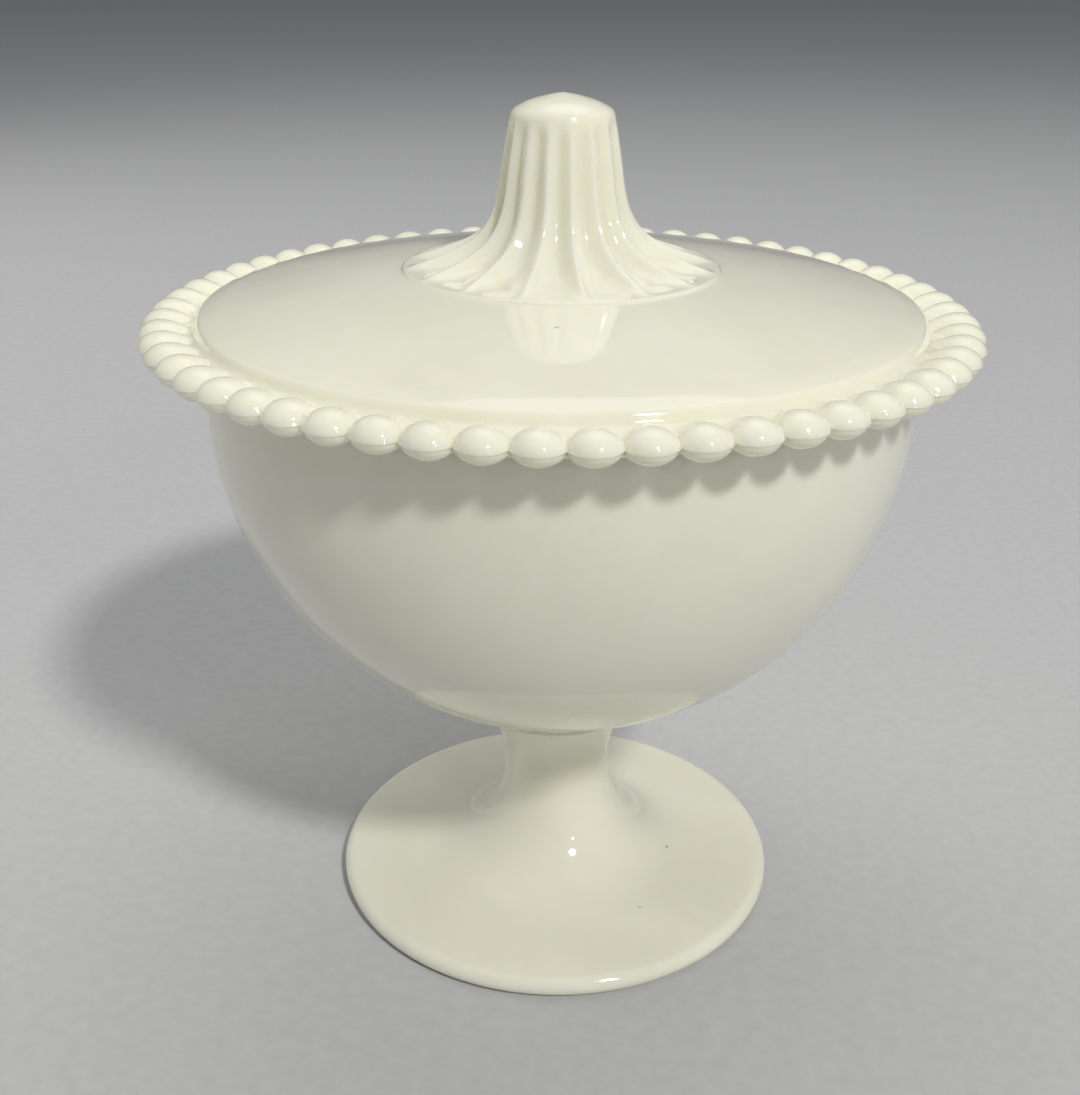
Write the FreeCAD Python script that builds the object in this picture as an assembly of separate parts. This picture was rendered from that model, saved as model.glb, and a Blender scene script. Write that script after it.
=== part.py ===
"""Covered pedestal jar in opal glass, with a beaded lid and a fluted finial.

Three pieces of glass: a round bowl, the pedestal that was stuck to it hot, and a loose lid.
The origin is the centre of the foot's underside. +Z is up. All sizes are millimetres.
"""
import FreeCAD
import Part
import math
import os

# ---- driving dimensions -------------------------------------------------------------------
bowl_radius = 64.5            # outside of the bowl, at its mouth
bowl_centre_height = 106.6    # centre of the round part of the bowl
bowl_wall = 4.0
bowl_bottom_wall = 5.5
mouth_height = 116.2          # top of the bowl's rim, where the lid sits

foot_radius = 45.3
foot_edge_thickness = 4.0
foot_ring_inner_radius = 37.0  # the foot stands on a flat ring outside this radius
foot_hollow_depth = 2.5
foot_top_slope = 5.0         # degrees; the foot's upper face falls towards its edge
foot_flare_radius = 18.5      # arc from the foot's upper face up to the stem
waist_radius = 10.8           # narrowest part of the stem
waist_height = 26.0
seam_height = 40.0            # plane where the pedestal is stuck to the bowl
seam_round = 0.4

lid_radius = 75.0             # over the beads
bead_count = 58
bead_width = 7.8
bead_height = 5.8
bead_centre_height = 119.5
first_bead_angle = -98.5      # degrees from +X
rim_setback = 1.2             # the solid rim ends this far inside the middle of the beads
rim_thickness = 3.6

plate_centre_height = 129.9   # the domed plate inside the ring of beads
bevel_radius = 61.0           # where the dome ends and the bevel round it starts
bevel_height = 123.6
plate_edge_radius = 64.8
plate_edge_height = 122.5
plate_thickness = 4.2
cove_radius = 66.4            # lowest point of the groove between the plate and the beads
cove_height = 120.6
flange_depth = 4.0            # locating flange that drops inside the bowl's mouth
flange_thickness = 3.6
flange_clearance = 0.8

finial_top_height = 158.7
shoulder_radius = 9.25
shoulder_height = 154.6
cap_middle_height = 157.4
flute_count = 16
points_per_flute = 8
first_flute_angle = -92.6     # degrees from +X, the middle of a flute
finial_sections = [           # height, radius over the ribs, depth of the flutes
    (128.2, 28.5, 0.3),
    (129.4, 27.8, 1.4),
    (131.8, 20.9, 2.3),
    (134.6, 15.2, 1.6),
    (138.6, 12.4, 1.1),
    (145.5, 10.95, 0.9),
    (154.0, 9.4, 0.2),
]


# ---- shared helpers -----------------------------------------------------------------------
def point(radius, height):
    """A point of a profile, in the XZ plane."""
    return FreeCAD.Vector(radius, 0, height)


def line(start, end):
    return Part.makeLine(start, end)


def arc(start, middle, end):
    return Part.Arc(start, middle, end).toShape()


def curve(points):
    """A smooth curve through the points."""
    spline = Part.BSplineCurve()
    spline.interpolate(points)
    return spline.toShape()


def arc_about(centre, radius, start_angle, end_angle):
    """Arc in the XZ plane about a centre. Angles are degrees from +X towards +Z."""
    def on_circle(angle):
        turn = math.radians(angle)
        return centre + point(radius * math.cos(turn), radius * math.sin(turn))
    return arc(on_circle(start_angle), on_circle((start_angle + end_angle) / 2), on_circle(end_angle))


def dome_arc(edge_radius, edge_height, top_height):
    """Shallow arc from an edge to the axis, level where it meets the axis."""
    rise = top_height - edge_height
    dome_radius = (edge_radius ** 2 + rise ** 2) / (2 * rise)
    start_angle = math.degrees(math.acos(edge_radius / dome_radius))
    return arc_about(point(0, top_height - dome_radius), dome_radius, start_angle, 90)


def turned_solid(edges):
    """Solid made by turning a closed profile about the Z axis."""
    face = Part.Face(Part.Wire(Part.__sortEdges__(edges)))
    solid = face.revolve(FreeCAD.Vector(0, 0, 0), FreeCAD.Vector(0, 0, 1), 360)
    return solid if solid.Volume > 0 else solid.reversed()


def turned_copies(shape, count, first_angle):
    """Copies of a shape, evenly spaced about the Z axis."""
    copies = []
    for index in range(count):
        copy = shape.copy()
        angle = first_angle + index * 360.0 / count
        copy.rotate(FreeCAD.Vector(0, 0, 0), FreeCAD.Vector(0, 0, 1), angle)
        copies.append(copy)
    return copies


def save(name, shape):
    shape.exportStep("parts/" + name + ".step")


# ---- the line that the bowl and the pedestal share -----------------------------------------
# The side of the stem is an arc that starts upright at the waist and ends tangent to the bowl.
neck_rise = bowl_centre_height - waist_height
neck_radius = ((neck_rise ** 2 + waist_radius ** 2 - bowl_radius ** 2)
               / (2 * (bowl_radius - waist_radius)))
neck_centre = point(waist_radius + neck_radius, waist_height)
neck_end_angle = 180 - math.degrees(math.atan2(neck_rise, neck_centre.x))
seam_angle = 180 - math.degrees(math.asin((seam_height - waist_height) / neck_radius))
seam_radius = neck_centre.x + neck_radius * math.cos(math.radians(seam_angle))
seam_round_angle = math.degrees(seam_round / neck_radius)


# ---- the pieces ---------------------------------------------------------------------------
def make_bowl():
    """Round bowl with an upright mouth and a short neck under it."""
    seam_edge = point(seam_radius - seam_round, seam_height)
    neck = arc_about(neck_centre, neck_radius, seam_angle - seam_round_angle, neck_end_angle)
    bowl_centre = point(0, bowl_centre_height)
    outside = arc_about(bowl_centre, bowl_radius, neck_end_angle - 180, 0)
    inner_radius = bowl_radius - bowl_wall
    rim_height = mouth_height - bowl_wall / 2
    rim_centre = point(bowl_radius - bowl_wall / 2, rim_height)
    inner_bottom = bowl_centre_height - bowl_radius + bowl_bottom_wall
    inside_centre_height = inner_bottom + inner_radius
    edges = [
        line(point(0, seam_height), seam_edge),
        line(seam_edge, neck.Vertexes[0].Point),
        neck,
        outside,
        line(point(bowl_radius, bowl_centre_height), point(bowl_radius, rim_height)),
        arc_about(rim_centre, bowl_wall / 2, 0, 180),
        line(point(inner_radius, rim_height), point(inner_radius, inside_centre_height)),
        arc_about(point(0, inside_centre_height), inner_radius, 0, -90),
        line(point(0, inner_bottom), point(0, seam_height)),
    ]
    return turned_solid(edges)


def make_pedestal():
    """Stem and flat round foot, in one piece."""
    edge_round = foot_edge_thickness / 2
    edge_centre = point(foot_radius - edge_round, edge_round)
    edge_top = point(foot_radius - edge_round, foot_edge_thickness)
    seam_edge = point(seam_radius - seam_round, seam_height)
    neck = arc_about(neck_centre, neck_radius, 180, seam_angle + seam_round_angle)
    flare_low_radius = waist_radius + foot_flare_radius * (1 - math.sin(math.radians(foot_top_slope)))
    flare_low_height = (foot_edge_thickness
                        + (edge_top.x - flare_low_radius) * math.tan(math.radians(foot_top_slope)))
    flare_centre = point(waist_radius + foot_flare_radius,
                         flare_low_height + foot_flare_radius * math.cos(math.radians(foot_top_slope)))
    flare = arc_about(flare_centre, foot_flare_radius, 180, 270 - foot_top_slope)
    edges = [
        line(point(0, foot_hollow_depth), point(0, seam_height)),
        line(point(0, seam_height), seam_edge),
        line(seam_edge, neck.Vertexes[1].Point),
        neck,
        line(point(waist_radius, waist_height), flare.Vertexes[0].Point),
        flare,
        line(flare.Vertexes[1].Point, edge_top),
        arc_about(edge_centre, edge_round, 90, -90),
        line(point(foot_radius - edge_round, 0), point(foot_ring_inner_radius, 0)),
        dome_arc(foot_ring_inner_radius, 0, foot_hollow_depth),
    ]
    return turned_solid(edges)


def lid_plate():
    """Domed plate with its bevel and groove, the seat under it and the locating flange."""
    flange_outer = bowl_radius - bowl_wall - flange_clearance
    flange_inner = flange_outer - flange_thickness
    flange_bottom = mouth_height - flange_depth
    rim_radius = lid_radius - bead_width / 2 - rim_setback
    rim_top = point(rim_radius, bead_centre_height + rim_thickness / 2)
    rim_bottom = point(rim_radius, bead_centre_height - rim_thickness / 2)
    seat_outer = point(rim_radius - rim_thickness / 2, mouth_height)
    bevel_start = point(bevel_radius, bevel_height)
    plate_edge = point(plate_edge_radius, plate_edge_height)
    under_height = bevel_height - plate_thickness
    edges = [
        dome_arc(bevel_radius, bevel_height, plate_centre_height),
        line(bevel_start, plate_edge),
        arc(plate_edge, point(cove_radius, cove_height), rim_top),
        line(rim_top, rim_bottom),
        line(rim_bottom, seat_outer),
        line(seat_outer, point(flange_outer, mouth_height)),
        line(point(flange_outer, mouth_height), point(flange_outer, flange_bottom)),
        line(point(flange_outer, flange_bottom), point(flange_inner, flange_bottom)),
        line(point(flange_inner, flange_bottom), point(flange_inner, under_height)),
        dome_arc(flange_inner, under_height, plate_centre_height - plate_thickness),
        line(point(0, plate_centre_height - plate_thickness), point(0, plate_centre_height)),
    ]
    return turned_solid(edges)


def bead():
    """One flattened bead, in the place of angle zero: two caps of a ball, with a fine edge between."""
    half_width = bead_width / 2
    half_height = bead_height / 2
    ball_radius = (half_width ** 2 + half_height ** 2) / (2 * half_height)
    offset = ball_radius - half_height
    upper = Part.makeSphere(ball_radius, FreeCAD.Vector(0, 0, -offset))
    lower = Part.makeSphere(ball_radius, FreeCAD.Vector(0, 0, offset))
    lens = upper.common(lower)
    lens.translate(point(lid_radius - half_width, bead_centre_height))
    return lens


def fluted_ring(height, crest_radius, depth):
    """Closed outline of the finial at one height, with a rib and a flute for each count."""
    points = []
    steps = flute_count * points_per_flute
    for index in range(steps):
        turn = 2 * math.pi * index / steps
        radius = crest_radius - depth * (1 + math.cos(flute_count * turn)) / 2
        angle = turn + math.radians(first_flute_angle)
        points.append(FreeCAD.Vector(radius * math.cos(angle), radius * math.sin(angle), height))
    outline = Part.BSplineCurve()
    outline.interpolate(points, True)
    return Part.Wire(outline.toShape())


def make_finial():
    """Tall fluted knob whose skirt spreads on to the plate, with a low domed cap."""
    rings = [fluted_ring(height, radius, depth) for height, radius, depth in finial_sections]
    tower = Part.makeLoft(rings, True, False)
    top = finial_sections[-1][0]
    cap = turned_solid([
        line(point(0, top - 1.0), point(shoulder_radius, top - 1.0)),
        line(point(shoulder_radius, top - 1.0), point(shoulder_radius, shoulder_height)),
        curve([point(shoulder_radius, shoulder_height), point(shoulder_radius * 0.56, cap_middle_height),
               point(0, finial_top_height)]),
        line(point(0, finial_top_height), point(0, top - 1.0)),
    ])
    return tower.fuse(cap)


def make_lid():
    """Lid in one piece: plate, flange, beads and fluted finial."""
    beads = turned_copies(bead(), bead_count, first_bead_angle)
    lid = lid_plate().fuse([make_finial()] + beads)
    return lid.removeSplitter()


os.makedirs("parts", exist_ok=True)
save("bowl", make_bowl())
save("pedestal", make_pedestal())
save("lid", make_lid())
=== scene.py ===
"""Looks of the covered pedestal jar: fire-polished opal glass built as fine turned meshes.

The lid, the bowl and the pedestal are each one closed mesh. They take their places from the CAD
frame. Lengths in this script are millimetres until a mesh is made; MM turns them into metres.
"""
import math

import bpy
import numpy as np
from mathutils import Matrix, Vector


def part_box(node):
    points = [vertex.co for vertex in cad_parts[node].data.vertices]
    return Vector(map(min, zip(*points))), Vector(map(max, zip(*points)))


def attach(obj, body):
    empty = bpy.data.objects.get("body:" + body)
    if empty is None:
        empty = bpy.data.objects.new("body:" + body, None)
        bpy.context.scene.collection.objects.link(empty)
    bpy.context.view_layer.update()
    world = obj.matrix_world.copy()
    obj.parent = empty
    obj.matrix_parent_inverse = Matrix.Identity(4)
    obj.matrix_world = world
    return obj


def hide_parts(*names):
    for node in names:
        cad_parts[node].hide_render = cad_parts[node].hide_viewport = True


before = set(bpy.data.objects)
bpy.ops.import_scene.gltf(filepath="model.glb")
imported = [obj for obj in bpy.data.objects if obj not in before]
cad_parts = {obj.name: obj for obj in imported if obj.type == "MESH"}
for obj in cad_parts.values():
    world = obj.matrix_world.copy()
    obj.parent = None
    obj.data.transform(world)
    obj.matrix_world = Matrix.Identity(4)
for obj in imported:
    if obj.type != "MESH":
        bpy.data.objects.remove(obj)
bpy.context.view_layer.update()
MM = 0.001


def node_box(name):
    """Lowest and highest corner of a CAD node, in millimetres."""
    low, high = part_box(name)
    return np.array(low) / MM, np.array(high) / MM


# ---- sizes taken from the frame ---------------------------------------------------------------
lid_low, lid_high = node_box("lid")
bowl_high = node_box("bowl")[1]
pedestal_high = node_box("pedestal")[1]
LID_RADIUS = lid_high[0]
LID_TOP = lid_high[2]
FLANGE_BOTTOM = lid_low[2]
MOUTH_HEIGHT = bowl_high[2]
BOWL_RADIUS = bowl_high[0]
SEAM_HEIGHT = pedestal_high[2]
FOOT_RADIUS = pedestal_high[0]

# ---- sizes of the bowl and the pedestal ------------------------------------------------------
BOWL_CENTRE = 106.6           # height of the centre of the bowl's round part
BOWL_WALL = 4.0
BOWL_BOTTOM = 5.5             # thickness of the glass at the bottom of the bowl
WAIST_RADIUS = 10.8           # narrowest part of the stem
WAIST_HEIGHT = 26.0
SEAM_ROUND = 0.4              # soft corner of each piece at the seam
SEAM_INSET = 0.5              # the flat of the seam ends this far inside the stem's side
FOOT_EDGE = 4.0               # thickness of the foot at its edge
FOOT_SLOPE = 5.0              # degrees
FLARE_RADIUS = 18.5           # arc from the foot's upper face up to the stem
FOOT_RING_INNER = 37.0        # the foot stands on a flat ring outside this radius
FOOT_HOLLOW = 2.5             # depth of the hollow inside that ring

# ---- sizes of the lid ----------------------------------------------------------------------
BEAD_COUNT = 58
BEAD_COLUMNS = 16             # columns of the mesh across one bead
FIRST_BEAD = -98.5            # degrees from +X, the middle of a bead
BEAD_HALF_WIDTH = 4.15
BEAD_REACH = 3.95             # from the middle of a bead out to its nose
BEAD_UPPER = 2.95             # rise of a bead over its parting line
BEAD_LOWER = 2.45             # drop of a bead under it
BEAD_HEIGHT = 119.7           # height of the parting line that runs round the beads
BEAD_TAIL = 5.4               # length of the tapering inner end
PARTING_LEDGE = 0.34          # the lower half of each bead stands back by this much
PARTING_DROP = 0.35           # height of the little step between the two halves
BEAD_FLATNESS = 0.56          # power of the bead's rounding; 0.5 would be an ellipsoid
SINK_SOFTNESS = 0.25          # width of the soft crease where a bead meets the rim
RIM_CORE = 0.9                # how far the solid rim reaches past the middle of the beads
NOTCH_DEPTH = 2.2             # how far it draws back between the beads, under the parting line
PLATE_TOP = 129.9             # top of the plate's dome, under the finial
BEVEL_RADIUS = 61.0           # the dome ends here and a bevel goes on to the plate's edge
BEVEL_HEIGHT = 123.6
PLATE_RADIUS = 64.6
PLATE_HEIGHT = 122.6
COVE_RADIUS = 66.3            # bottom of the groove between the plate and the beads
COVE_HEIGHT = 120.6
SHOULDER_RADIUS = 9.3         # edge of the finial's cap
SHOULDER_DROP = 4.1           # how far that edge is under the top
RING_RADIUS = 27.9            # raised ring line round the finial
RING_STEP = 0.5
FLUTES = 16
FIRST_RIB = -81.4             # degrees from +X, the middle of a rib
FLANGE_CLEARANCE = 0.8        # between the flange and the inside of the bowl's mouth
FLANGE_OUTER = BOWL_RADIUS - BOWL_WALL - FLANGE_CLEARANCE
FLANGE_WALL = 3.6
SEAT_HEIGHT = MOUTH_HEIGHT    # the lid's flat seat rests on the bowl's rim
SEAT_OUTER = 65.8             # the flat seat reaches out to here, just past the bowl's rim
PLATE_THICKNESS = 4.2


# ---- outline helpers ---------------------------------------------------------------------------
def arc(centre, radius, start, end, count):
    """Points of an arc. Angles are degrees from the +r direction towards +z."""
    angle = np.radians(np.linspace(start, end, count))
    return np.column_stack([centre[0] + radius * np.cos(angle), centre[1] + radius * np.sin(angle)])


def straight(start, end, count):
    share = np.linspace(0, 1, count)[:, None]
    return np.array(start, float) * (1 - share) + np.array(end, float) * share


def smooth(points, count):
    """Catmull-Rom curve through the points, evenly spaced by length."""
    p = np.array(points, float)
    p = np.vstack([2 * p[0] - p[1], p, 2 * p[-1] - p[-2]])
    out = []
    for a, b, c, d in zip(p, p[1:], p[2:], p[3:]):
        t = np.linspace(0, 1, 24, endpoint=False)[:, None]
        out.append(0.5 * (2 * b + (c - a) * t + (2 * a - 5 * b + 4 * c - d) * t ** 2
                          + (3 * b - a - 3 * c + d) * t ** 3))
    out = np.vstack(out + [p[-2:-1]])
    return respaced(out, count)


def respaced(points, count):
    """The same line with evenly spaced points."""
    step = np.hypot(*np.diff(points, axis=0).T)
    along = np.concatenate([[0], np.cumsum(step)])
    wanted = np.linspace(0, along[-1], count)
    return np.column_stack([np.interp(wanted, along, points[:, k]) for k in (0, 1)])


def joined(*parts):
    """One outline from several, without doubled points."""
    rows = [parts[0]]
    for part in parts[1:]:
        same = np.hypot(*(part[0] - rows[-1][-1])) < 1e-6
        rows.append(part[1:] if same else part)
    return np.vstack(rows)


def rounded(points, radius, count=5):
    """An outline of straight runs with every inner corner rounded."""
    out = [np.array(points[0], float)]
    for before, corner, after in zip(points, points[1:], points[2:]):
        corner = np.array(corner, float)
        back = np.array(before, float) - corner
        ahead = np.array(after, float) - corner
        reach = min(radius, 0.45 * np.hypot(*back), 0.45 * np.hypot(*ahead))
        start = corner + back / np.hypot(*back) * reach
        end = corner + ahead / np.hypot(*ahead) * reach
        for t in np.linspace(0, 1, count):
            out.append((1 - t) ** 2 * start + 2 * t * (1 - t) * corner + t ** 2 * end)
    out.append(np.array(points[-1], float))
    return np.array(out)


# ---- mesh helper -------------------------------------------------------------------------------
def turned_mesh(name, radius, height, angles, sharp_degrees):
    """Closed mesh from rows of rings. The first and last rows lie on the axis, as single points.

    The rows run outwards over the upper side first, which turns every face outwards.
    """
    rows, columns = radius.shape
    cosines, sines = np.cos(angles), np.sin(angles)
    rings = [np.column_stack([radius[i] * cosines, radius[i] * sines, height[i]])
             for i in range(1, rows - 1)]
    top = [[0, 0, height[0].mean()]]
    bottom = [[0, 0, height[-1].mean()]]
    points = np.vstack(rings + [top, bottom]) * MM
    column = np.arange(columns)
    following = (column + 1) % columns
    faces = []
    for i in range(rows - 3):
        here, below = i * columns, (i + 1) * columns
        quads = np.column_stack([here + column, below + column, below + following, here + following])
        faces.extend(quads.tolist())
    top_index = (rows - 2) * columns
    last = (rows - 3) * columns
    faces.extend(np.column_stack([np.full(columns, top_index), column, following]).tolist())
    faces.extend(np.column_stack([np.full(columns, top_index + 1), last + following,
                                  last + column]).tolist())
    mesh = bpy.data.meshes.new(name)
    mesh.from_pydata(points.tolist(), [], faces)
    mesh.validate()
    mesh.shade_smooth()
    mesh.set_sharp_from_angle(angle=math.radians(sharp_degrees))
    mesh.update()
    piece = bpy.data.objects.new(name, mesh)
    bpy.context.scene.collection.objects.link(piece)
    return piece


def even_angles(count):
    return np.arange(count) * 2 * np.pi / count


def waver(angles, height, amount, seed):
    """Slow out-of-round drift that hand-finished pressed glass has, in millimetres."""
    draw = np.random.default_rng(seed)
    drift = np.zeros(np.broadcast(angles, height).shape)
    for turns in (2, 3, 5):
        phase, tilt = draw.uniform(0, 2 * np.pi), draw.uniform(0.01, 0.04)
        drift = drift + np.sin(turns * angles + phase + height * tilt) / turns
    return drift * amount


# ---- lid -----------------------------------------------------------------------------------------
def bead_angles():
    """Columns round the lid, closer together where two beads meet."""
    pitch = 2 * np.pi / BEAD_COUNT
    across = np.sin(np.pi / 2 * np.linspace(-1, 1, BEAD_COLUMNS + 1)[:-1])
    starts = math.radians(FIRST_BEAD) + np.arange(BEAD_COUNT)[:, None] * pitch
    angles = (starts + across[None, :] * pitch / 2).ravel()
    offset = np.tile(across, BEAD_COUNT) * pitch / 2
    return angles, offset


def plate_height(radius):
    """Height of the plate's dome at a radius."""
    return PLATE_TOP - (PLATE_TOP - BEVEL_HEIGHT) * (radius / BEVEL_RADIUS) ** 2


def crest_line():
    """Outline over the finial's ribs, from the cap's edge down to the ring line."""
    shoulder = (SHOULDER_RADIUS, LID_TOP - SHOULDER_DROP)
    skirt_edge = (RING_RADIUS, plate_height(RING_RADIUS) + RING_STEP)
    return smooth([shoulder, (9.95, 151.2), (10.65, 147.0), (11.45, 142.0), (12.7, 138.0),
                   (15.2, 134.6), (19.6, 132.0), skirt_edge], 60)


def fluted_rows(angles):
    """Rows of the finial's side: ridges with hollow flutes between them, that sink along the normal."""
    line = crest_line()
    along = np.gradient(line, axis=0)
    along /= np.hypot(*along.T)[:, None]
    outward = np.column_stack([-along[:, 1], along[:, 0]])
    share = np.linspace(0, 1, len(line))
    depth = np.interp(share, [0, 0.07, 0.35, 0.55, 0.72, 0.88, 1.0],
                      [0.10, 0.75, 1.05, 1.45, 2.0, 1.35, 0.0])
    hollow = np.interp(share, [0, 0.55, 0.85, 1.0], [1.8, 1.9, 2.6, 4.0])
    soft = np.interp(share, [0, 0.5, 1.0], [0.32, 0.24, 0.10])[:, None]
    half_pitch = np.pi / FLUTES
    away = (angles - math.radians(FIRST_RIB) + half_pitch) % (2 * half_pitch) - half_pitch
    away = np.abs(away)[None, :] / half_pitch
    rounded_away = np.sqrt(away ** 2 + soft ** 2) - soft
    rounded_away = rounded_away / (np.sqrt(1 + soft ** 2) - soft)
    rib = (1 - rounded_away) ** hollow[:, None]
    sink = depth[:, None] * (1 - rib)
    radius = line[:, :1] - sink * outward[:, :1]
    height = line[:, 1:] - sink * outward[:, 1:]
    just_over_plate = plate_height(radius) + 0.02
    return radius, np.maximum(height, just_over_plate)


def bead_rows(angles, offset):
    """Rows over the bead ring: top surface from the cove outwards, the nose, and the underside."""
    centre = LID_RADIUS - BEAD_REACH
    low_top = BEAD_HEIGHT - PARTING_DROP

    def body(radius, length_out, half_width, half_height):
        """Height of one bead above or below its parting line."""
        outward = np.maximum(radius - centre, 0) / length_out
        inward = np.clip((centre - radius) / BEAD_TAIL, 0, 1)
        width = half_width * (1 - inward ** 1.6) ** 0.8 + 1e-6
        side = radius * np.sin(offset)[None, :] / width
        inside = np.clip(1 - side ** 2 - outward ** 2, 0, None)
        return half_height * inside ** BEAD_FLATNESS * (1 - 0.62 * inward ** 1.8)

    side = centre * np.sin(offset) / BEAD_HALF_WIDTH
    lobe = np.sqrt(np.clip(1 - side ** 2, 0, None))
    edge = centre + np.maximum(BEAD_REACH * lobe, RIM_CORE)
    share = np.sin(np.pi / 2 * np.linspace(0, 1, 17))[:, None]
    top_radius = COVE_RADIUS + (edge - COVE_RADIUS)[None, :] * share
    floor = COVE_HEIGHT + (BEAD_HEIGHT + 0.1 - COVE_HEIGHT) * share ** 1.3
    crown = BEAD_HEIGHT + body(top_radius, BEAD_REACH, BEAD_HALF_WIDTH, BEAD_UPPER)
    soft_step = np.sqrt((floor - crown) ** 2 + SINK_SOFTNESS ** 2)
    top_height = 0.5 * (floor + crown + soft_step) - SINK_SOFTNESS / 2
    top_height[-1] = BEAD_HEIGHT

    low_reach = BEAD_REACH - PARTING_LEDGE
    low_half_width = BEAD_HALF_WIDTH - 0.1
    low_lobe = np.sqrt(np.clip(1 - (side * BEAD_HALF_WIDTH / low_half_width) ** 2, 0, None))
    low_edge = centre + low_reach * low_lobe - NOTCH_DEPTH * (1 - low_lobe) ** 2
    share = 1 - np.cos(np.pi / 2 * np.linspace(0, 1, 17))[:, None]
    low_radius = low_edge[None, :] + (SEAT_OUTER - low_edge)[None, :] * share
    root = low_top - (low_top - SEAT_HEIGHT) * share ** 2.8
    chin = low_top - body(low_radius, low_reach, low_half_width, BEAD_LOWER)
    soft_step = np.sqrt((root - chin) ** 2 + SINK_SOFTNESS ** 2)
    low_height = 0.5 * (root + chin - soft_step) + SINK_SOFTNESS / 2
    low_height[0] = low_top
    low_height[-1] = SEAT_HEIGHT
    nose_radius = 0.5 * (edge + low_edge)[None, :] + 0.08
    nose_height = np.full_like(nose_radius, BEAD_HEIGHT - 0.2)
    return (np.vstack([top_radius, nose_radius, low_radius]),
            np.vstack([top_height, nose_height, low_height]))


def lid_underside():
    """Outline under the lid, from the bead ring's root to the axis."""
    flange_inner = FLANGE_OUTER - FLANGE_WALL
    ceiling = PLATE_TOP - PLATE_THICKNESS
    fall = PLATE_TOP - BEVEL_HEIGHT
    dome = [(flange_inner * s, ceiling - fall * s ** 2) for s in (0.92, 0.8, 0.6, 0.4, 0.2)]
    return rounded([(SEAT_OUTER, SEAT_HEIGHT), (FLANGE_OUTER, SEAT_HEIGHT),
                    (FLANGE_OUTER, FLANGE_BOTTOM), (flange_inner, FLANGE_BOTTOM),
                    (flange_inner, ceiling - fall)] + dome + [(0, ceiling)], 0.9)


def build_lid():
    angles, offset = bead_angles()
    columns = len(angles)

    def ring_rows(line):
        """The same outline at every column."""
        return np.repeat(line[:, :1], columns, 1), np.repeat(line[:, 1:], columns, 1)

    cap = smooth([(0, LID_TOP), (0.9, LID_TOP - 0.12), (2.7, LID_TOP - 0.45), (5.7, LID_TOP - 1.25),
                  (7.9, LID_TOP - 2.25), (8.85, LID_TOP - 3.0),
                  (SHOULDER_RADIUS, LID_TOP - SHOULDER_DROP)], 22)
    ring_height = plate_height(RING_RADIUS)
    ring_foot = rounded([(RING_RADIUS, ring_height + RING_STEP),
                         (RING_RADIUS + 0.45, ring_height + RING_STEP - 0.03),
                         (RING_RADIUS + 0.8, plate_height(RING_RADIUS + 0.8)),
                         (RING_RADIUS + 2.5, plate_height(RING_RADIUS + 2.5))], 0.3, 4)[1:]
    plate_radii = np.linspace(RING_RADIUS + 2.6, BEVEL_RADIUS - 1.5, 16)
    plate = np.column_stack([plate_radii, plate_height(plate_radii)])
    step = rounded([(BEVEL_RADIUS - 1.4, plate_height(BEVEL_RADIUS - 1.4)), (BEVEL_RADIUS, BEVEL_HEIGHT),
                    (PLATE_RADIUS, PLATE_HEIGHT), (PLATE_RADIUS + 0.8, COVE_HEIGHT + 0.4),
                    (COVE_RADIUS, COVE_HEIGHT)], 0.6, 5)
    flute_radius, flute_height = fluted_rows(angles)
    bead_radius, bead_height = bead_rows(angles, offset)
    parts = [ring_rows(cap[:-1]), (flute_radius, flute_height), ring_rows(ring_foot), ring_rows(plate),
             ring_rows(step[:-1]), (bead_radius, bead_height), ring_rows(lid_underside()[1:])]
    radius = np.vstack([p[0] for p in parts])
    height = np.vstack([p[1] for p in parts])
    return turned_mesh("lid_glass", radius, height, angles, 38)


# ---- bowl and pedestal -------------------------------------------------------------------------
def neck_arc():
    """Radius, centre and end angle of the arc from the waist to the bowl's ball."""
    rise = BOWL_CENTRE - WAIST_HEIGHT
    radius = (rise ** 2 + WAIST_RADIUS ** 2 - BOWL_RADIUS ** 2) / (2 * (BOWL_RADIUS - WAIST_RADIUS))
    centre = (WAIST_RADIUS + radius, WAIST_HEIGHT)
    end = 180 - math.degrees(math.atan2(rise, centre[0]))
    seam = 180 - math.degrees(math.asin((SEAM_HEIGHT - WAIST_HEIGHT) / radius))
    return radius, centre, end, seam


def revolve(name, outline, columns, drift, seed):
    """Closed turned mesh of an outline, with a slight waver so that reflections aren't perfect."""
    angles = even_angles(columns)
    radius = np.repeat(outline[:, :1], columns, 1)
    height = np.repeat(outline[:, 1:], columns, 1)
    radius = radius + waver(angles[None, :], height, drift, seed) * np.clip(radius / 20, 0, 1)
    return turned_mesh(name, radius, height, angles, 40)


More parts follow.
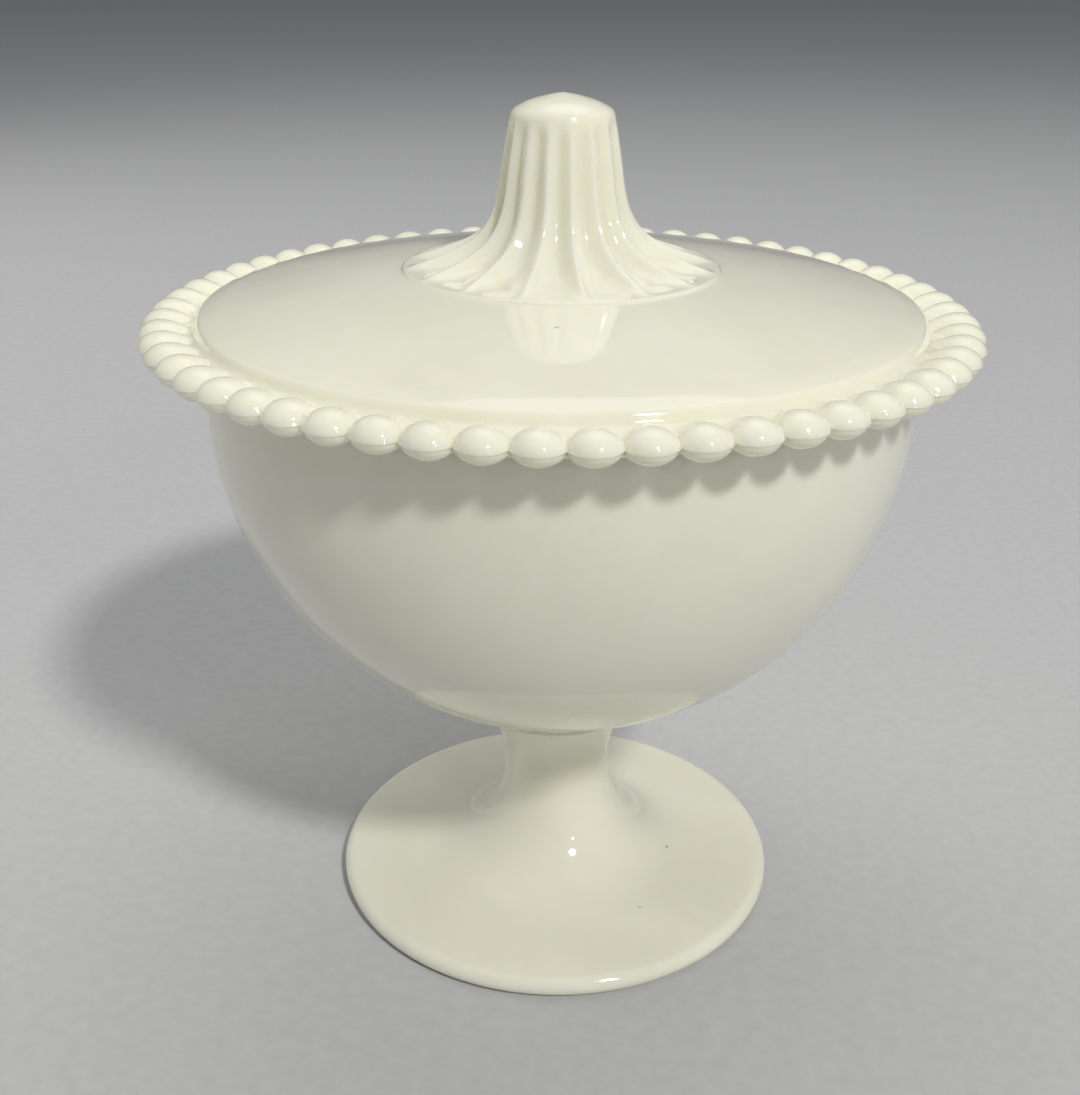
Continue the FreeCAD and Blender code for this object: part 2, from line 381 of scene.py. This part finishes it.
def build_bowl():
    neck_radius, neck_centre, neck_end, seam = neck_arc()
    seam_radius = neck_centre[0] + neck_radius * math.cos(math.radians(seam))
    inner = BOWL_RADIUS - BOWL_WALL
    inner_bottom = BOWL_CENTRE - BOWL_RADIUS + BOWL_BOTTOM
    rim_centre = (BOWL_RADIUS - BOWL_WALL / 2, MOUTH_HEIGHT - BOWL_WALL / 2)
    outline = joined(
        straight((0, SEAM_HEIGHT), (seam_radius - SEAM_INSET, SEAM_HEIGHT), 5),
        arc((seam_radius - SEAM_INSET, SEAM_HEIGHT + SEAM_ROUND), SEAM_ROUND, -90, -10, 5),
        arc(neck_centre, neck_radius, seam - 1.2, neck_end, 16),
        arc((0, BOWL_CENTRE), BOWL_RADIUS, neck_end - 180, 0, 60),
        straight((BOWL_RADIUS, BOWL_CENTRE), (BOWL_RADIUS, rim_centre[1]), 8),
        arc(rim_centre, BOWL_WALL / 2, 0, 180, 13),
        straight((inner, rim_centre[1]), (inner, inner_bottom + inner), 8),
        arc((0, inner_bottom + inner), inner, 0, -90, 44))
    outline[-1, 0] = 0
    from_inside = outline[::-1]
    return revolve("bowl_glass", from_inside, 320, 0.07, 11)


def build_pedestal():
    neck_radius, neck_centre, _, seam = neck_arc()
    seam_radius = neck_centre[0] + neck_radius * math.cos(math.radians(seam))
    slope = math.radians(FOOT_SLOPE)
    edge_top = (FOOT_RADIUS - FOOT_EDGE / 2, FOOT_EDGE)
    low_radius = WAIST_RADIUS + FLARE_RADIUS * (1 - math.sin(slope))
    low_height = FOOT_EDGE + (edge_top[0] - low_radius) * math.tan(slope)
    flare_centre = (WAIST_RADIUS + FLARE_RADIUS, low_height + FLARE_RADIUS * math.cos(slope))
    hollow = [(FOOT_RING_INNER * s, FOOT_HOLLOW * (1 - s ** 2)) for s in np.linspace(0.96, 0, 12)]
    outline = joined(
        straight((0, SEAM_HEIGHT), (seam_radius - SEAM_INSET, SEAM_HEIGHT), 5),
        arc((seam_radius - SEAM_INSET, SEAM_HEIGHT - SEAM_ROUND), SEAM_ROUND, 90, 10, 5),
        arc(neck_centre, neck_radius, seam + 1.2, 180, 16),
        arc(flare_centre, FLARE_RADIUS, 180, 270 - FOOT_SLOPE, 30),
        straight((low_radius, low_height), edge_top, 12),
        arc((edge_top[0], FOOT_EDGE / 2), FOOT_EDGE / 2, 90, -90, 17),
        straight((edge_top[0], 0), (FOOT_RING_INNER, 0), 6),
        np.array(hollow))
    outline[-1, 0] = 0
    return revolve("pedestal_glass", outline, 288, 0.05, 23)


# ---- material ----------------------------------------------------------------------------------
def node(tree, kind, **inputs):
    """Adds a shader node and fills its inputs, given by name with _ for a space."""
    made = tree.nodes.new(kind)
    for name, value in inputs.items():
        made.inputs[name.replace("_", " ")].default_value = value
    return made


def ramp(tree, source, stops):
    """Colour ramp fed by a value. Stops are (place, colour)."""
    made = tree.nodes.new("ShaderNodeValToRGB")
    made.color_ramp.elements[0].position, made.color_ramp.elements[0].color = stops[0]
    made.color_ramp.elements[1].position, made.color_ramp.elements[1].color = stops[-1]
    for place, colour in stops[1:-1]:
        made.color_ramp.elements.new(place).color = colour
    tree.links.new(source, made.inputs[0])
    return made.outputs[0]


def mixed(tree, amount, first, second):
    """Mixes two colours. amount and each colour may be a socket or a value."""
    made = tree.nodes.new("ShaderNodeMix")
    made.data_type = "RGBA"
    for socket, value in zip((made.inputs[0], made.inputs[6], made.inputs[7]), (amount, first, second)):
        if isinstance(value, bpy.types.NodeSocket):
            tree.links.new(value, socket)
        else:
            socket.default_value = value
    return made.outputs[2]


def opal_glass(name, tone, swirl_seed):
    """Dense milk glass: soft light under a polished skin, faint swirls, pits and a painted cool sheen
    where the surface turns edge-on to the view.
    """
    material = bpy.data.materials.new(name)
    material.use_nodes = True
    tree = material.node_tree
    links = tree.links
    surface = tree.nodes["Principled BSDF"]
    where = tree.nodes.new("ShaderNodeTexCoord").outputs["Object"]

    swirl = node(tree, "ShaderNodeTexNoise", Scale=22.0, Detail=5.0, Roughness=0.55, Distortion=1.4)
    swirl.noise_dimensions = "4D"
    swirl.inputs["W"].default_value = swirl_seed
    links.new(where, swirl.inputs["Vector"])
    deep = tuple(c * k for c, k in zip(tone, (0.955, 0.955, 0.94))) + (1,)
    pale = tuple(min(1, c * 1.02) for c in tone) + (1,)
    base = ramp(tree, swirl.outputs["Fac"], [(0.32, deep), (0.68, pale)])

    # Painted sheen: a cool white is mixed into the colour where the surface turns edge-on to the view,
    # standing in for a reflection.
    facing = node(tree, "ShaderNodeLayerWeight", Blend=0.22)
    painted_edge_sheen = ramp(tree, facing.outputs["Facing"], [(0.55, (0, 0, 0, 1)), (1, (0.38,) * 3 + (1,))])
    painted_sheen_white = (0.86, 0.885, 0.90, 1)
    base = mixed(tree, painted_edge_sheen, base, painted_sheen_white)

    pits = node(tree, "ShaderNodeTexVoronoi", Scale=95.0, Randomness=1.0)
    links.new(where, pits.inputs["Vector"])
    size = node(tree, "ShaderNodeTexNoise", Scale=31.0, Detail=1.0)
    links.new(where, size.inputs["Vector"])
    rare = ramp(tree, size.outputs["Fac"], [(0.52, (0, 0, 0, 1)), (0.58, (1, 1, 1, 1))])
    speck = ramp(tree, pits.outputs["Distance"], [(0.0, (1, 1, 1, 1)), (0.05, (0, 0, 0, 1))])
    spots = tree.nodes.new("ShaderNodeMath")
    spots.operation = "MULTIPLY"
    links.new(rare, spots.inputs[0])
    links.new(speck, spots.inputs[1])
    base = mixed(tree, spots.outputs[0], base, (0.22, 0.19, 0.13, 1))
    links.new(base, surface.inputs["Base Color"])

    wear = node(tree, "ShaderNodeTexNoise", Scale=140.0, Detail=6.0, Roughness=0.65)
    links.new(where, wear.inputs["Vector"])
    links.new(ramp(tree, wear.outputs["Fac"], [(0.35, (0.035,) * 3 + (1,)), (0.8, (0.10,) * 3 + (1,))]),
              surface.inputs["Roughness"])

    flow = node(tree, "ShaderNodeTexNoise", Scale=48.0, Detail=2.0, Roughness=0.4)
    links.new(where, flow.inputs["Vector"])
    bump = node(tree, "ShaderNodeBump", Strength=0.02, Distance=0.0005)
    links.new(flow.outputs["Fac"], bump.inputs["Height"])
    fine = node(tree, "ShaderNodeBump", Strength=0.15, Distance=0.00003)
    links.new(wear.outputs["Fac"], fine.inputs["Height"])
    links.new(bump.outputs["Normal"], fine.inputs["Normal"])
    dent = node(tree, "ShaderNodeBump", Strength=0.6, Distance=0.00015)
    dent.invert = True
    links.new(spots.outputs[0], dent.inputs["Height"])
    links.new(fine.outputs["Normal"], dent.inputs["Normal"])
    links.new(dent.outputs["Normal"], surface.inputs["Normal"])

    surface.inputs["IOR"].default_value = 1.52
    surface.inputs["Subsurface Weight"].default_value = 0.75
    surface.inputs["Subsurface Radius"].default_value = (1.0, 0.92, 0.7)
    surface.inputs["Subsurface Scale"].default_value = 0.0035
    surface.inputs["Coat Weight"].default_value = 0.25
    surface.inputs["Coat Roughness"].default_value = 0.03
    return material


def floor_material():
    """Pale matt paper with a faint fibre."""
    material = bpy.data.materials.new("pale_floor")
    material.use_nodes = True
    tree = material.node_tree
    surface = tree.nodes["Principled BSDF"]
    fibre = node(tree, "ShaderNodeTexNoise", Scale=320.0, Detail=4.0)
    tree.links.new(tree.nodes.new("ShaderNodeTexCoord").outputs["Object"], fibre.inputs["Vector"])
    darker, lighter = (0.505, 0.51, 0.515, 1), (0.545, 0.55, 0.555, 1)
    shade = ramp(tree, fibre.outputs["Fac"], [(0.3, darker), (0.7, lighter)])
    tree.links.new(shade, surface.inputs["Base Color"])
    surface.inputs["Roughness"].default_value = 0.85
    return material


# ---- scene -----------------------------------------------------------------------------------------
def area_light(name, place, target, size, power, colour):
    data = bpy.data.lights.new(name, "AREA")
    data.shape = "DISK"
    data.size = size
    data.energy = power
    data.color = colour
    light = bpy.data.objects.new(name, data)
    light.location = place
    light.rotation_euler = (Vector(target) - Vector(place)).to_track_quat("-Z", "Y").to_euler()
    bpy.context.scene.collection.objects.link(light)
    return light


def build_stage():
    side = 8.0
    mesh = bpy.data.meshes.new("floor")
    mesh.from_pydata([(-side, -side, 0), (side, -side, 0), (side, side, 0), (-side, side, 0)], [],
                     [(0, 1, 2, 3)])
    floor = bpy.data.objects.new("floor", mesh)
    floor.location.z = -0.0002
    floor.data.materials.append(floor_material())
    bpy.context.scene.collection.objects.link(floor)
    middle = (0, 0, 0.09)
    area_light("key", (1.091, -1.870, 2.166), middle, 0.32, 51.0, (1.0, 0.985, 0.96))
    area_light("low_glint", (0.898, -1.540, 0.998), middle, 0.12, 2.0, (1.0, 0.985, 0.96))
    area_light("band", (0.1, 0.45, 1.25), middle, 0.95, 1.6, (1.0, 0.985, 0.96))
    fill = area_light("fill", (-0.95, 0.45, 0.55), middle, 0.9, 3.0, (1.0, 0.98, 0.95))
    top = area_light("top", (0.1, 0.45, 1.35), middle, 1.4, 4.6, (1.0, 0.985, 0.96))
    for unreflected in (fill, top):
        unreflected.visible_glossy = False
    world = bpy.data.worlds.new("studio")
    world.use_nodes = True
    world.node_tree.nodes["Background"].inputs["Color"].default_value = (0.93, 0.95, 1.0, 1)
    world.node_tree.nodes["Background"].inputs["Strength"].default_value = 0.20
    bpy.context.scene.world = world
    bpy.context.scene.view_settings.view_transform = "Standard"


def build_camera():
    """Camera above and in front of the jar, looking down on it."""
    distance, rise = 0.2454, 0.1830
    yaw, pitch, roll = math.radians(-0.835), math.radians(24.12), math.radians(0.28)
    data = bpy.data.cameras.new("camera")
    data.sensor_width = 36.0
    data.lens = 44.876
    data.clip_start = 0.01
    camera = bpy.data.objects.new("camera", data)
    ahead = Vector((math.sin(yaw) * math.cos(pitch), math.cos(yaw) * math.cos(pitch), -math.sin(pitch)))
    right = ahead.cross(Vector((0, 0, 1))).normalized()
    up = right.cross(ahead)
    tilted_right = right * math.cos(roll) + up * math.sin(roll)
    tilted_up = up * math.cos(roll) - right * math.sin(roll)
    turn = Matrix((tilted_right, tilted_up, -ahead)).transposed()
    camera.matrix_world = Matrix.Translation((0, -distance, rise)) @ turn.to_4x4()
    bpy.context.scene.collection.objects.link(camera)
    bpy.context.scene.camera = camera


def finish_piece(piece, material, body, cad_node):
    piece.data.materials.append(material)
    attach(piece, body)
    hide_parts(cad_node)


lid_material = opal_glass("opal_glass_lid", (0.895, 0.885, 0.74), 1.7)
bowl_material = opal_glass("opal_glass_bowl", (0.86, 0.85, 0.725), 4.2)
finish_piece(build_lid(), lid_material, "lid", "lid")
finish_piece(build_bowl(), bowl_material, "jar", "bowl")
finish_piece(build_pedestal(), bowl_material, "jar", "pedestal")
build_stage()
build_camera()
